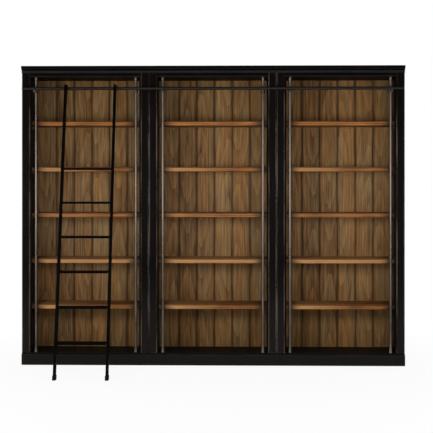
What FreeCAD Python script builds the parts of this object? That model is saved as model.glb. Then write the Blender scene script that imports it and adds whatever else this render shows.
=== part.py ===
import FreeCAD, Part
import os
import re
import Sketcher
from FreeCAD import Placement, Rotation, Vector

# Modular bookcase: three planked cases side by side, with a ladder rail on steel posts and a hook-on ladder.
# Millimetres and degrees. X runs along the front to the right, Y to the back, Z up from the floor.
SIZES = {
    "Cases": {
        "module_width": 1016,
        "case_height": 2388,
        "case_depth": 336,
        "side_thickness": 38,
        "top_thickness": 38,
        "deck_thickness": 38,
    },
    "Planked back": {
        "back_thickness": 12,
        "board_count": 6,
        "board_pitch": 147,
        "board_shift": 9,
        "rebate_width": 16,
        "back_lap": 10,
        "tongue_length": 6,
        "tongue_thickness": 4,
        "vee_width": 6,
        "vee_depth": 3,
    },
    "Face frame": {
        "frame_thickness": 22,
        "stile_width": 66,
        "stile_chamfer": 7,
        "frieze_drop": 85,
        "frieze_bead": 6,
    },
    "Base skirt": {
        "skirt_height": 98,
        "skirt_proud": 14,
        "skirt_toe": 6,
    },
    "Crown moulding": {
        "crown_step": 5,
        "crown_step_height": 8,
        "crown_cove": 24,
        "corona_overhang": 3,
        "corona_height": 24,
        "corona_chamfer": 4,
    },
    "Shelves": {
        "shelf_count": 5,
        "shelf_thickness": 37,
        "lowest_shelf": 447,
        "top_space": 349,
        "shelf_gap": 9,
        "shelf_end_gap": 1,
        "shelf_nose": 5,
    },
    "Shelf cleats": {
        "cleat_leg": 16,
        "cleat_gauge": 2,
        "cleat_inset": 20,
    },
    "Posts": {
        "post_diameter": 22,
        "post_inset": 108,
        "post_setback": 31,
        "ferrule_diameter": 34,
        "ferrule_height": 60,
        "ferrule_rim": 4,
        "flange_diameter": 37,
        "flange_height": 20,
        "flange_rim": 3,
    },
    "Ladder rail": {
        "rail_diameter": 25,
        "rail_wall": 2,
        "rail_drop": 181,
        "rail_offset": 34,
        "rail_inset": 10,
        "coupler_length": 80,
        "cap_diameter": 34,
        "cap_thickness": 5,
        "spigot_length": 20,
    },
    "Rail brackets": {
        "collar_diameter": 34,
        "collar_height": 26,
        "arm_width": 16,
        "arm_height": 12,
        "arm_drop": 16,
        "cradle_back": 18,
        "cradle_front": 6,
        "cradle_drop": 9,
    },
    "Floor glides": {
        "glide_height": 6,
        "glide_width": 32,
        "glide_inset": 29,
    },
    "Connector bolts": {
        "bolt_diameter": 7,
        "bolt_head": 17,
        "bolt_head_height": 2.5,
        "bolt_margin": 220,
    },
    "Ladder": {
        "ladder_place": -965,
        "ladder_lean": 13,
        "ladder_spacing": 390,
        "stringer_width": 20,
        "stringer_depth": 40,
        "stringer_wall": 2,
        "stringer_head": 14,
        "tread_count": 6,
        "lowest_tread": 271,
        "tread_rise": 260.5,
        "tread_depth": 85,
        "tread_lip": 16,
        "tread_gauge": 3,
    },
    "Ladder ends": {
        "hook_width": 20,
        "hook_gauge": 8,
        "hook_wrap": 150,
        "hook_shank": 140,
        "saddle_wall": 2.5,
        "saddle_wrap": 160,
        "saddle_flange": 2,
        "saddle_rim": 5.5,
        "foot_wall": 3,
        "foot_height": 34,
        "foot_sole": 8,
    },
    "Fits": {
        "clearance": 0.3,
        "overrun": 4,
    },
}

# Places and sizes that follow from the driving dimensions.
LAYOUT = {
    "inner_width": "module_width - 2 * side_thickness",
    "side_depth": "case_depth - frame_thickness",
    "panel_depth": "side_depth - back_thickness",
    "base_top": "glide_height + skirt_height",
    "frieze_bottom": "case_height - frieze_drop",
    "opening_width": "module_width - 2 * stile_width",
    "back_half": "inner_width / 2 + back_lap",
    "first_joint": "board_shift - (board_count - 2) * board_pitch / 2",
    "last_joint": "board_shift + (board_count - 2) * board_pitch / 2",
    "shelf_front": "post_setback + post_diameter / 2 + shelf_gap",
    "shelf_span": "frieze_bottom - top_space - shelf_thickness - lowest_shelf",
    "shelf_pitch": "shelf_span / (shelf_count - 1)",
    "shelf_depth": "case_depth - back_thickness - shelf_front",
    "post_spacing": "module_width - 2 * post_inset",
    "crown_projection": "crown_step + crown_cove + corona_overhang",
    "crown_height": "crown_step_height + crown_cove + corona_height",
    "rail_height": "case_height - rail_drop",
    "rail_bore": "rail_diameter - 2 * rail_wall",
    "rail_half_length": "1.5 * module_width - rail_inset - cap_thickness",
    "saddle_inner": "rail_diameter / 2 + clearance",
    "hook_inner": "saddle_inner + saddle_wall + clearance",
    "hook_outer": "hook_inner + hook_gauge",
    "stringer_front": "hook_outer + stringer_depth",
    "foot_front": "stringer_front + foot_wall",
    "ladder_reach": "rail_offset + rail_height * tan(ladder_lean) + foot_front / cos(ladder_lean)",
    "front_plane": "(ladder_reach - case_depth) / 2",
    "back_plane": "front_plane + case_depth - back_thickness",
    "rail_line": "front_plane - rail_offset",
    "post_line": "front_plane + post_setback",
}

CASES = (("left", -1), ("middle", 0), ("right", 1))
SHELVES = range(1, SIZES["Shelves"]["shelf_count"] + 1)
SIDES = (("left", -1), ("right", 1))
HALF_TURN = 180
HEXAGON = [60 * corner for corner in range(6)]

doc = FreeCAD.newDocument("ModularBookcase")
owner = {}
parts = []


def fill_sheet(name, rows):
    """Write one sheet: a name, its value and an alias per row."""
    sheet = doc.addObject("Spreadsheet::Sheet", name)
    for row, (alias, value) in enumerate(rows, start=1):
        sheet.set(f"A{row}", alias)
        sheet.set(f"B{row}", value)
        sheet.setAlias(f"B{row}", alias)
    owner.update((alias, f"{name}.") for alias, _ in rows)


def bound(text):
    """Point each size named in an expression at the sheet that holds it."""
    return re.sub(r"[a-z]+(?:_[a-z]+)*", lambda word: owner.get(word[0], "") + word[0], text)


def bind(thing, **expressions):
    for name, text in expressions.items():
        thing.setExpression(name, bound(text))


def place(thing, x="0", y="0", z="0"):
    for axis, text in (("x", x), ("y", y), ("z", z)):
        thing.setExpression(f"Placement.Base.{axis}", bound(text))


def new_part(kind, label):
    """Start a sub-part whose label names its file."""
    part = doc.addObject(kind, label)
    part.Label = label
    parts.append(part)
    return part


def new_master(label):
    """Start a body that is shown only through its placed copies."""
    return doc.addObject("PartDesign::Body", label)


def origin_of(body, role):
    return next(feature for feature in body.Origin.OriginFeatures if feature.Role == role)


def new_sketch(body, role):
    sketch = body.newObject("Sketcher::SketchObject", "Sketch")
    sketch.AttachmentSupport = [(origin_of(body, role), "")]
    sketch.MapMode = "FlatFace"
    return sketch


def locate(sketch, geometry, vertex, across, up):
    """Dimension one point of a sketch from the sketch's origin."""
    for direction, text in (("DistanceX", across), ("DistanceY", up)):
        index = sketch.addConstraint(Sketcher.Constraint(direction, -1, 1, geometry, vertex, 1.0))
        sketch.setExpression(f"Constraints[{index}]", bound(text))


def outline(body, role, corners):
    """Sketch a closed outline of straight lines through dimensioned corners."""
    sketch = new_sketch(body, role)
    count = len(corners)
    rough = [Vector(index, index * index, 0) for index in range(count)]
    for index in range(count):
        sketch.addGeometry(Part.LineSegment(rough[index], rough[(index + 1) % count]), False)
    for index in range(count):
        sketch.addConstraint(Sketcher.Constraint("Coincident", index, 2, (index + 1) % count, 1))
        locate(sketch, index, 1, *corners[index])
    return sketch


def circles(body, role, *rounds):
    """Sketch circles, each given as across, up and diameter."""
    sketch = new_sketch(body, role)
    for across, up, diameter in rounds:
        index = sketch.addGeometry(Part.Circle(Vector(0, 0, 0), Vector(0, 0, 1), 1), False)
        locate(sketch, index, 3, across, up)
        size = sketch.addConstraint(Sketcher.Constraint("Diameter", index, 1.0))
        sketch.setExpression(f"Constraints[{size}]", bound(diameter))
    return sketch


def rectangle(x_low, y_low, x_high, y_high):
    return [(x_low, y_low), (x_high, y_low), (x_high, y_high), (x_low, y_high)]


def extrude(body, sketch, length, kind="Pad", both_ways=False, reverse=False):
    """Pad a sketch, or pocket it out of the body."""
    feature = body.newObject(f"PartDesign::{kind}", kind)
    feature.Profile = sketch
    feature.Midplane = both_ways
    feature.Reversed = reverse
    bind(feature, Length=length)
    return feature


def cut_through(body, sketch, length):
    """Pocket a sketch both ways and make sure that it removed material."""
    doc.recompute()
    before = body.Shape.Volume
    extrude(body, sketch, length, kind="Pocket", both_ways=True)
    doc.recompute()
    if not body.Shape.Volume < before:
        raise RuntimeError(f"a cut in {body.Label} removes nothing")


def revolve(body, sketch, axis, angle="360", both_ways=False, reverse=False):
    feature = body.newObject("PartDesign::Revolution", "Revolution")
    feature.Profile = sketch
    feature.ReferenceAxis = (origin_of(body, axis), [""])
    feature.Midplane = both_ways
    feature.Reversed = reverse
    bind(feature, Angle=angle)
    return feature


def mirror(body, feature, role):
    twin = body.newObject("PartDesign::Mirrored", "Mirrored")
    twin.Originals = [feature]
    twin.MirrorPlane = (origin_of(body, role), [""])
    body.Tip = twin


def repeat(body, feature, axis, spread, count):
    """Repeat a feature in a row from its first copy to its last."""
    row = body.newObject("PartDesign::LinearPattern", "Row")
    row.Originals = [feature]
    row.Direction = (origin_of(body, axis), [""])
    bind(row, Length=spread, Occurrences=count)
    body.Tip = row


def round_edges(body, feature, radius, wanted):
    """Fillet the edges of a feature that pass a test."""
    doc.recompute()
    names = [f"Edge{index}" for index, edge in enumerate(feature.Shape.Edges, start=1) if wanted(edge)]
    fillet = body.newObject("PartDesign::Fillet", "Fillet")
    fillet.Base = (feature, names)
    bind(fillet, Radius=radius)


def group(label, master, spots, tilt=None):
    """Place copies of one body, each at x, y, z and a turn about the vertical, as one sub-part."""
    copies = []
    for x, y, z, turn in spots:
        copy = doc.addObject("App::Link", f"{label}_copy")
        copy.LinkedObject = master
        copy.Placement = Placement(Vector(), Rotation(Vector(0, 0, 1), turn))
        if tilt:
            lean(copy)
        place(copy, x, y, z)
        copies.append(copy)
    part = new_part("Part::Compound", label)
    part.Links = copies


def lean(thing):
    """Tip a piece that was drawn upright, so that its foot comes forward by the ladder's lean."""
    thing.Placement = Placement(Vector(), Rotation(Vector(-1, 0, 0), 1))
    thing.setExpression("Placement.Rotation.Angle", bound("ladder_lean"))


def case_x(slot):
    return f"{slot} * module_width"


# Sub-parts of one case.
def side(case, slot, hand, sign):
    """Side panel with a rebate for the back boards and, at a seam, holes for the connector bolts."""
    body = new_part("PartDesign::Body", f"{case}_case_{hand}_side")
    inner = f"{-sign} * side_thickness"
    step = f"{-sign} * (side_thickness - rebate_width)"
    corners = [("0", "0"), (inner, "0"), (inner, "panel_depth"), (step, "panel_depth")]
    corners += [(step, "side_depth"), ("0", "side_depth")]
    extrude(body, outline(body, "XY_Plane", corners), "case_height - glide_height")
    if slot * sign < 1:
        heights = ("bolt_margin", "case_height - bolt_margin")
        hole = "bolt_diameter + 2 * clearance"
        holes = [("side_depth / 2", f"{height} - glide_height", hole) for height in heights]
        cut_through(body, circles(body, "YZ_Plane", *holes), "2 * side_thickness + overrun")
    outer_face = f"{case_x(slot)} + {sign} * module_width / 2"
    place(body, outer_face, "front_plane + frame_thickness", "glide_height")


def stiles(case, slot):
    """Pair of face-frame uprights, chamfered down both front edges."""
    body = new_part("PartDesign::Body", f"{case}_case_stiles")
    outer = "-module_width / 2"
    corners = [(outer, "frame_thickness"), (outer, "stile_chamfer"), (f"{outer} + stile_chamfer", "0")]
    corners += [(f"{outer} + stile_width - stile_chamfer", "0"), (f"{outer} + stile_width", "stile_chamfer")]
    corners += [(f"{outer} + stile_width", "frame_thickness")]
    stile = extrude(body, outline(body, "XY_Plane", corners), "case_height - base_top")
    mirror(body, stile, "YZ_Plane")
    place(body, case_x(slot), "front_plane", "base_top")


def frieze(case, slot):
    """Top rail of the face frame, beaded along its lower edge."""
    body = new_part("PartDesign::Body", f"{case}_case_frieze")
    corners = [("frieze_bead", "0"), ("frame_thickness", "0"), ("frame_thickness", "frieze_drop")]
    corners += [("0", "frieze_drop"), ("0", "frieze_bead")]
    extrude(body, outline(body, "YZ_Plane", corners), "opening_width", both_ways=True)
    place(body, case_x(slot), "front_plane", "frieze_bottom")


def crown(case, slot):
    """Cornice planted on the face frame: a small step, a hollow cove and the corona above it."""
    body = new_part("PartDesign::Body", f"{case}_case_crown")
    cove_edge = "-(crown_step + crown_cove)"
    cove_top = "crown_step_height + crown_cove"
    corners = [("0", "0"), ("-crown_step", "0"), ("-crown_step", "crown_step_height")]
    corners += [(cove_edge, "crown_step_height"), (cove_edge, cove_top), ("-crown_projection", cove_top)]
    corners += [("-crown_projection", "crown_height - corona_chamfer")]
    corners += [("corona_chamfer - crown_projection", "crown_height"), ("0", "crown_height")]
    extrude(body, outline(body, "YZ_Plane", corners), "module_width", both_ways=True)
    cove = circles(body, "YZ_Plane", (cove_edge, "crown_step_height", "2 * crown_cove"))
    cut_through(body, cove, "module_width + overrun")
    place(body, case_x(slot), "front_plane", "case_height - crown_height")


def base_skirt(case, slot):
    """Plinth board that stands proud of the stiles, hollowed along its top edge."""
    body = new_part("PartDesign::Body", f"{case}_case_base_skirt")
    face = "-skirt_proud"
    corners = [("frame_thickness", "0"), ("frame_thickness", "skirt_height"), (face, "skirt_height")]
    corners += [(face, "skirt_toe"), (f"skirt_toe {face}", "0")]
    extrude(body, outline(body, "YZ_Plane", corners), "module_width", both_ways=True)
    hollow = circles(body, "YZ_Plane", (face, "skirt_height", "2 * skirt_proud"))
    cut_through(body, hollow, "module_width + overrun")
    place(body, case_x(slot), "front_plane", "glide_height")


def panel(case, slot, name, thickness, height):
    """Flat board from side to side, from the face frame to the back boards."""
    board = new_part("Part::Box", f"{case}_case_{name}")
    bind(board, Length="inner_width", Width="panel_depth", Height=thickness)
    place(board, f"{case_x(slot)} - inner_width / 2", "front_plane + frame_thickness", height)


def plank(body, left, width):
    """Pad an upright board: a vee down both edges, a groove on the left and a tongue on the right."""
    right = f"({left} + {width} - clearance)"
    tongue_low = "(back_thickness - tongue_thickness) / 2"
    tongue_high = "(back_thickness + tongue_thickness) / 2"
    groove_low = f"{tongue_low} - clearance"
    groove_high = f"{tongue_high} + clearance"
    groove_end = f"{left} + tongue_length"
    tongue_end = f"{right} + tongue_length"
    corners = [(f"{left} + vee_width", "0"), (f"{right} - vee_width", "0"), (right, "vee_depth")]
    corners += [(right, tongue_low), (tongue_end, tongue_low), (tongue_end, tongue_high)]
    corners += [(right, tongue_high), (right, "back_thickness"), (left, "back_thickness")]
    corners += [(left, groove_high), (groove_end, groove_high), (groove_end, groove_low)]
    corners += [(left, groove_low), (left, "vee_depth")]
    return extrude(body, outline(body, "XY_Plane", corners), "case_height - base_top + deck_thickness")


def back_planks(case, slot):
    """Row of tongued and grooved boards, equal but for the wider one at each end."""
    body = new_part("PartDesign::Body", f"{case}_case_back_planks")
    plank(body, "-back_half", "back_half + first_joint")
    board = plank(body, "first_joint", "board_pitch")
    repeat(body, board, "X_Axis", "(board_count - 3) * board_pitch", "board_count - 2")
    plank(body, "last_joint", "back_half - last_joint - tongue_length")
    place(body, case_x(slot), "back_plane", "base_top - deck_thickness")


def shelf(case, slot, number):
    """Thick board with a rounded front edge, lying on the cleats."""
    body = new_part("PartDesign::Body", f"{case}_case_shelf_{number}")
    profile = rectangle("0", "0", "shelf_depth", "shelf_thickness")
    sketch = outline(body, "YZ_Plane", profile)
    board = extrude(body, sketch, "inner_width - 2 * shelf_end_gap", both_ways=True)
    round_edges(body, board, "shelf_nose", is_nose)
    place(body, case_x(slot), "front_plane + shelf_front", shelf_height(number))


def shelf_height(number):
    return f"lowest_shelf + {number - 1} * shelf_pitch"


def is_nose(edge):
    """True for the long edges at the front of a shelf."""
    box = edge.BoundBox
    return box.XLength > max(box.YLength, box.ZLength) and abs(box.YMax) < box.XLength * 1e-6


def posts(case, slot):
    """Two steel rods, each on a tapered ferrule and under a flared flange."""
    body = new_part("PartDesign::Body", f"{case}_case_posts")
    rod, foot, head = "post_diameter / 2", "ferrule_diameter / 2", "flange_diameter / 2"
    length = "(frieze_bottom - base_top)"
    corners = [("0", "0"), (foot, "0"), (foot, "ferrule_rim"), (rod, "ferrule_height")]
    corners += [(rod, f"{length} - flange_height"), (head, f"{length} - flange_rim")]
    corners += [(head, length), ("0", length)]
    post = revolve(body, outline(body, "XZ_Plane", corners), "Z_Axis")
    repeat(body, post, "X_Axis", "post_spacing", "2")
    place(body, f"{case_x(slot)} - post_spacing / 2", "post_line", "base_top")


def rail(case, slot):
    """One tube of the ladder rail, cut at the seams between the cases."""
    body = new_part("PartDesign::Body", f"{case}_rail")
    ring = circles(body, "YZ_Plane", ("0", "0", "rail_diameter"), ("0", "0", "rail_bore"))
    middle_length = "module_width"
    end_length = "rail_half_length - module_width / 2"
    extrude(body, ring, end_length if slot else middle_length, both_ways=True)
    place(body, f"{slot} * (rail_half_length + module_width / 2) / 2", "rail_line", "rail_height")


# Fittings that serve all the cases.
def shelf_cleats():
    """Steel angles along the side panels, one under each end of a shelf."""
    cleat = new_master("ShelfCleat")
    corners = [("0", "0"), ("0", "-cleat_leg"), ("cleat_gauge", "-cleat_leg")]
    corners += [("cleat_gauge", "-cleat_gauge"), ("cleat_leg", "-cleat_gauge"), ("cleat_leg", "0")]
    extrude(cleat, outline(cleat, "XZ_Plane", corners), "shelf_depth - 2 * cleat_inset", both_ways=True)
    middle = "front_plane + shelf_front + shelf_depth / 2"
    spots = [
        (f"{case_x(slot)} + {sign} * inner_width / 2", middle, shelf_height(number), turn)
        for _, slot in CASES
        for number in SHELVES
        for sign, turn in ((-1, 0), (1, HALF_TURN))
    ]
    group("shelf_cleats", cleat, spots)


def rail_brackets():
    """Collar on a post, an arm to the front and a cradle under the rail, open above for the hooks."""
    bracket = new_master("RailBracket")
    reach = "(rail_offset + post_setback)"
    arm_low = "-(arm_drop + arm_height)"
    corners = [("-cradle_front", arm_low), (reach, arm_low), (reach, "-arm_drop")]
    corners += [("cradle_back", "-arm_drop"), ("cradle_back", "-cradle_drop")]
    corners += [("-cradle_front", "-cradle_drop")]
    extrude(bracket, outline(bracket, "YZ_Plane", corners), "arm_width", both_ways=True)
    collar = circles(bracket, "XY_Plane", ("0", reach, "collar_diameter"))
    bind(collar, **{"AttachmentOffset.Base.z": "-(arm_drop + arm_height / 2)"})
    extrude(bracket, collar, "collar_height", both_ways=True)
    post_hole = circles(bracket, "XY_Plane", ("0", reach, "post_diameter + 2 * clearance"))
    cut_through(bracket, post_hole, "2 * (arm_drop + arm_height + collar_height)")
    seat = circles(bracket, "YZ_Plane", ("0", "0", "rail_diameter + 2 * clearance"))
    cut_through(bracket, seat, "arm_width + overrun")
    spots = [
        (f"{case_x(slot)} + {sign} * post_spacing / 2", "rail_line", "rail_height", 0)
        for _, slot in CASES
        for _, sign in SIDES
    ]
    group("rail_brackets", bracket, spots)


def rail_couplers():
    """Dowels inside the rail, one across each seam."""
    dowel = new_master("RailCoupler")
    section = circles(dowel, "YZ_Plane", ("0", "0", "rail_bore - 2 * clearance"))
    extrude(dowel, section, "coupler_length", both_ways=True)
    spots = [(f"{sign} * module_width / 2", "rail_line", "rail_height", 0) for _, sign in SIDES]
    group("rail_couplers", dowel, spots)


def rail_end_caps():
    """Discs that close the rail and stop the ladder from running off it."""
    cap = new_master("RailEndCap")
    plug = "rail_bore / 2 - clearance"
    rim = "cap_diameter / 2"
    corners = [("-spigot_length", "0"), ("-spigot_length", plug), ("0", plug), ("0", rim)]
    corners += [("cap_thickness", rim), ("cap_thickness", "0")]
    revolve(cap, outline(cap, "XY_Plane", corners), "X_Axis")
    ends = (("-rail_half_length", HALF_TURN), ("rail_half_length", 0))
    group("rail_end_caps", cap, [(x, "rail_line", "rail_height", turn) for x, turn in ends])


def floor_glides():
    """Square pads under the side panels, which carry the cases."""
    glide = doc.addObject("Part::Box", "FloorGlide")
    bind(glide, Length="glide_width", Width="glide_width", Height="glide_height")
    front = "front_plane + frame_thickness + glide_inset"
    rear = "front_plane + case_depth - glide_inset - glide_width"
    middle_of_side = "(module_width - side_thickness) / 2"
    spots = [
        (f"{case_x(slot)} + {sign} * {middle_of_side} - glide_width / 2", depth, "0", 0)
        for _, slot in CASES
        for _, sign in SIDES
        for depth in (front, rear)
    ]
    group("floor_glides", glide, spots)


def connector_bolts():
    """Hex-headed bolts, with a nut like the head, that draw the cases together through their sides."""
    bolt = new_master("ConnectorBolt")
    shank = circles(bolt, "YZ_Plane", ("0", "0", "bolt_diameter"))
    extrude(bolt, shank, "2 * side_thickness", both_ways=True)
    corners = [(f"bolt_head / 2 * cos({turn})", f"bolt_head / 2 * sin({turn})") for turn in HEXAGON]
    sketch = outline(bolt, "YZ_Plane", corners)
    bind(sketch, **{"AttachmentOffset.Base.z": "side_thickness"})
    mirror(bolt, extrude(bolt, sketch, "bolt_head_height"), "YZ_Plane")
    depth = "front_plane + frame_thickness + side_depth / 2"
    spots = [
        (f"{sign} * module_width / 2", depth, height, 0)
        for _, sign in SIDES
        for height in ("bolt_margin", "case_height - bolt_margin")
    ]
    group("connector_bolts", bolt, spots)


# The ladder, drawn upright with its rail axis at the origin and then leaned.
def at_height(height, front):
    """Distance up the ladder, from the rail axis, of a floor height on a line so far to the front."""
    return f"-(rail_height - {height}) / cos(ladder_lean) - {front} * tan(ladder_lean)"


def stringer(hand, sign):
    """Upright of rectangular tube, closed at the head and cut level at the foot."""
    body = new_part("PartDesign::Body", f"ladder_{hand}_stringer")
    back, front = "hook_outer", "stringer_front"
    corners = [(f"-{back}", "stringer_head"), (f"-{back}", at_height("foot_sole", back))]
    corners += [(f"-{front}", at_height("foot_sole", front)), (f"-{front}", "stringer_head")]
    extrude(body, outline(body, "YZ_Plane", corners), "stringer_width", both_ways=True)
    back, front = f"({back} + stringer_wall)", f"({front} - stringer_wall)"
    ceiling = "stringer_head - stringer_wall"
    below = "(foot_sole - overrun)"
    hollow = [(f"-{back}", ceiling), (f"-{back}", at_height(below, back))]
    hollow += [(f"-{front}", at_height(below, front)), (f"-{front}", ceiling)]
    cut_through(body, outline(body, "YZ_Plane", hollow), "stringer_width - 2 * stringer_wall")
    lean(body)
    place(body, stringer_x(sign), "rail_line", "rail_height")


def stringer_x(sign):
    return f"ladder_place + {sign} * ladder_spacing / 2"


def ladder_treads():
    """Level steps of folded plate between the stringers."""
    tread = new_master("LadderTread")
    half, inner = "tread_depth / 2", "(tread_depth / 2 - tread_gauge)"
    corners = [(f"-{half}", "0"), (f"-{half}", "-tread_lip"), (f"-{inner}", "-tread_lip")]
    corners += [(f"-{inner}", "-tread_gauge"), (inner, "-tread_gauge"), (inner, "-tread_lip")]
    corners += [(half, "-tread_lip"), (half, "0")]
    extrude(tread, outline(tread, "YZ_Plane", corners), "ladder_spacing - stringer_width", both_ways=True)
    middle = "(hook_outer + stringer_depth / 2)"
    spots = []
    for step in range(SIZES["Ladder"]["tread_count"]):
        height = f"(lowest_tread + {step} * tread_rise)"
        depth = f"rail_line - {middle} / cos(ladder_lean) - (rail_height - {height}) * tan(ladder_lean)"
        spots.append(("ladder_place", depth, height, 0))
    group("ladder_treads", tread, spots)


def ladder_hooks():
    """Flat bars welded to the backs of the stringers and bent over the rail."""
    hook = new_master("LadderHook")
    section = rectangle("-hook_width / 2", "-hook_outer", "hook_width / 2", "-hook_inner")
    bar = outline(hook, "XY_Plane", section)
    extrude(hook, bar, "hook_shank", reverse=True)
    revolve(hook, bar, "X_Axis", "hook_wrap", reverse=True)
    spots = [(stringer_x(sign), "rail_line", "rail_height", 0) for _, sign in SIDES]
    group("ladder_hooks", hook, spots, tilt=True)


def rail_saddles():
    """Flanged nylon liners that ride on the rail inside the hooks."""
    saddle = new_master("RailSaddle")
    inside = "(hook_width / 2 + clearance)"
    outside = f"({inside} + saddle_flange)"
    floor = "saddle_inner + saddle_wall"
    rim = f"{floor} + saddle_rim"
    corners = [(f"-{outside}", "saddle_inner"), (outside, "saddle_inner"), (outside, rim), (inside, rim)]
    corners += [(inside, floor), (f"-{inside}", floor), (f"-{inside}", rim), (f"-{outside}", rim)]
    revolve(saddle, outline(saddle, "XZ_Plane", corners), "X_Axis", "saddle_wrap", both_ways=True)
    group("rail_saddles", saddle, [(stringer_x(sign), "rail_line", "rail_height", 0) for _, sign in SIDES])


def ladder_feet():
    """Rubber boots over the ends of the stringers, level with the floor."""
    foot = new_master("LadderFoot")
    back, front = "(hook_outer - foot_wall)", "foot_front"
    corners = [(f"-{back}", at_height("foot_height", back)), (f"-{back}", at_height("0", back))]
    corners += [(f"-{front}", at_height("0", front)), (f"-{front}", at_height("foot_height", front))]
    extrude(foot, outline(foot, "YZ_Plane", corners), "stringer_width + 2 * foot_wall", both_ways=True)
    back, front = "(hook_outer - clearance)", "(stringer_front + clearance)"
    above = "(foot_height + overrun)"
    socket = [(f"-{back}", at_height(above, back)), (f"-{back}", at_height("foot_sole", back))]
    socket += [(f"-{front}", at_height("foot_sole", front)), (f"-{front}", at_height(above, front))]
    cut_through(foot, outline(foot, "YZ_Plane", socket), "stringer_width + 2 * clearance")
    spots = [(stringer_x(sign), "rail_line", "rail_height", 0) for _, sign in SIDES]
    group("ladder_feet", foot, spots, tilt=True)


def build_case(case, slot):
    for hand, sign in SIDES:
        side(case, slot, hand, sign)
    stiles(case, slot)
    frieze(case, slot)
    crown(case, slot)
    base_skirt(case, slot)
    panel(case, slot, "top_board", "top_thickness", "frieze_bottom")
    panel(case, slot, "deck", "deck_thickness", "base_top - deck_thickness")
    back_planks(case, slot)
    for number in SHELVES:
        shelf(case, slot, number)
    posts(case, slot)
    rail(case, slot)


def check_and_write():
    """Stop on anything that failed, then write one file per sub-part."""
    doc.recompute()
    failed = [thing.Label for thing in doc.Objects if {"Invalid", "Error"} & set(thing.State)]
    failed += [part.Label for part in parts if part.Shape.isNull() or not part.Shape.isValid()]
    if failed:
        raise RuntimeError(f"failed: {failed}")
    os.makedirs("parts", exist_ok=True)
    for part in parts:
        part.Shape.exportStep(f"parts/{part.Label}.step")
        print(part.Label, len(part.Shape.Solids), "solids")


fill_sheet("Sizes", [(alias, str(value)) for table in SIZES.values() for alias, value in table.items()])
fill_sheet("Layout", [(alias, f"={bound(text)}") for alias, text in LAYOUT.items()])
doc.recompute()
for case_name, case_slot in CASES:
    build_case(case_name, case_slot)
shelf_cleats()
rail_brackets()
rail_couplers()
rail_end_caps()
floor_glides()
connector_bolts()
for hand_name, hand_sign in SIDES:
    stringer(hand_name, hand_sign)
ladder_treads()
ladder_hooks()
rail_saddles()
ladder_feet()
check_and_write()
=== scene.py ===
from math import cos, pi, radians, sin, tan
from types import SimpleNamespace

import bpy
from mathutils import Matrix, Vector


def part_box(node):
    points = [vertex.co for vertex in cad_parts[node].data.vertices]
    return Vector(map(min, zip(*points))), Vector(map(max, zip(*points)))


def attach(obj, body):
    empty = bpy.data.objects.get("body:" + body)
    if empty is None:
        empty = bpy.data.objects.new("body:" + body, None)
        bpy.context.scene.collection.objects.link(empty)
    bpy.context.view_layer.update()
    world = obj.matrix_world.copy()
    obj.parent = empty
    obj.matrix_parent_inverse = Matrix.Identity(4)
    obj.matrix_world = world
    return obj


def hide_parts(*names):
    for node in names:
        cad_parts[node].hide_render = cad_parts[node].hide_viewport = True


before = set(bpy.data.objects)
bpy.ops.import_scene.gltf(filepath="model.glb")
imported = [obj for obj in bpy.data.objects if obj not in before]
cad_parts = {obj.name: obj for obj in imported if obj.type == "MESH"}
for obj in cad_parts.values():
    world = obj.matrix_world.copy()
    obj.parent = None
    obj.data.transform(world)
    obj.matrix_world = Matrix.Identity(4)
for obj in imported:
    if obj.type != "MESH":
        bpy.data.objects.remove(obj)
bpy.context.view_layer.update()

# Units and axes. All sizes are in metres.
MM = 0.001
X, Y, Z = range(3)
RIGHTWARD = Vector((1, 0, 0))
FRONTWARD = Vector((0, -1, 0))
UPWARD = Vector((0, 0, 1))
CLEARANCE = 0.3 * MM

# Joinery of a case.
MODULE = 1016 * MM
SIDE_THICKNESS = 38 * MM
REBATE_WIDTH = 16 * MM
REBATE_DEPTH = 12 * MM
STILE_WIDTH = 66 * MM
STILE_CHAMFER = 7 * MM
STOP_WIDTH = 12 * MM
STOP_SET_BACK = 16 * MM
FRIEZE_BEAD = 6 * MM
CROWN_STEP = 5 * MM
CROWN_STEP_HEIGHT = 8 * MM
CROWN_COVE = 24 * MM
CORONA_CHAMFER = 4 * MM
SKIRT_HOLLOW = 14 * MM
SKIRT_TOE = 6 * MM
SHELF_COUNT = 5
SHELF_NOSE = 5 * MM

# Boards of the back.
BOARD_PITCH = 147 * MM
BOARD_SHIFT = 9 * MM
BOARD_JOINTS = [BOARD_SHIFT + BOARD_PITCH * step for step in range(-2, 3)]
VEE_WIDTH = 6 * MM
VEE_DEPTH = 3 * MM
TONGUE_LENGTH = 6 * MM
TONGUE_THICKNESS = 4 * MM

# Posts.
POST_RADIUS = 11 * MM
POST_FACETS = 36
FERRULE_RADIUS = 17 * MM
FERRULE_HEIGHT = 60 * MM
FERRULE_RIM = 4 * MM
FERRULE_TAPER = 1.4
FERRULE_STEPS = 8
FLANGE_RADIUS = 18.5 * MM
FLANGE_HEIGHT = 20 * MM
FLANGE_RIM = 3 * MM
FLANGE_FLARE = 1.6
FLANGE_STEPS = 6

# Rail.
RAIL_RADIUS = 12.5 * MM
RAIL_BORE = 10.5 * MM
RAIL_LIP = 0.5 * MM
CAP_RADIUS = 17 * MM
CAP_THICKNESS = 5 * MM
CAP_ROUNDING = 2 * MM
CAP_DOME = 0.4 * MM
SPIGOT_RADIUS = RAIL_BORE - CLEARANCE
SPIGOT_LENGTH = 20 * MM

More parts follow.
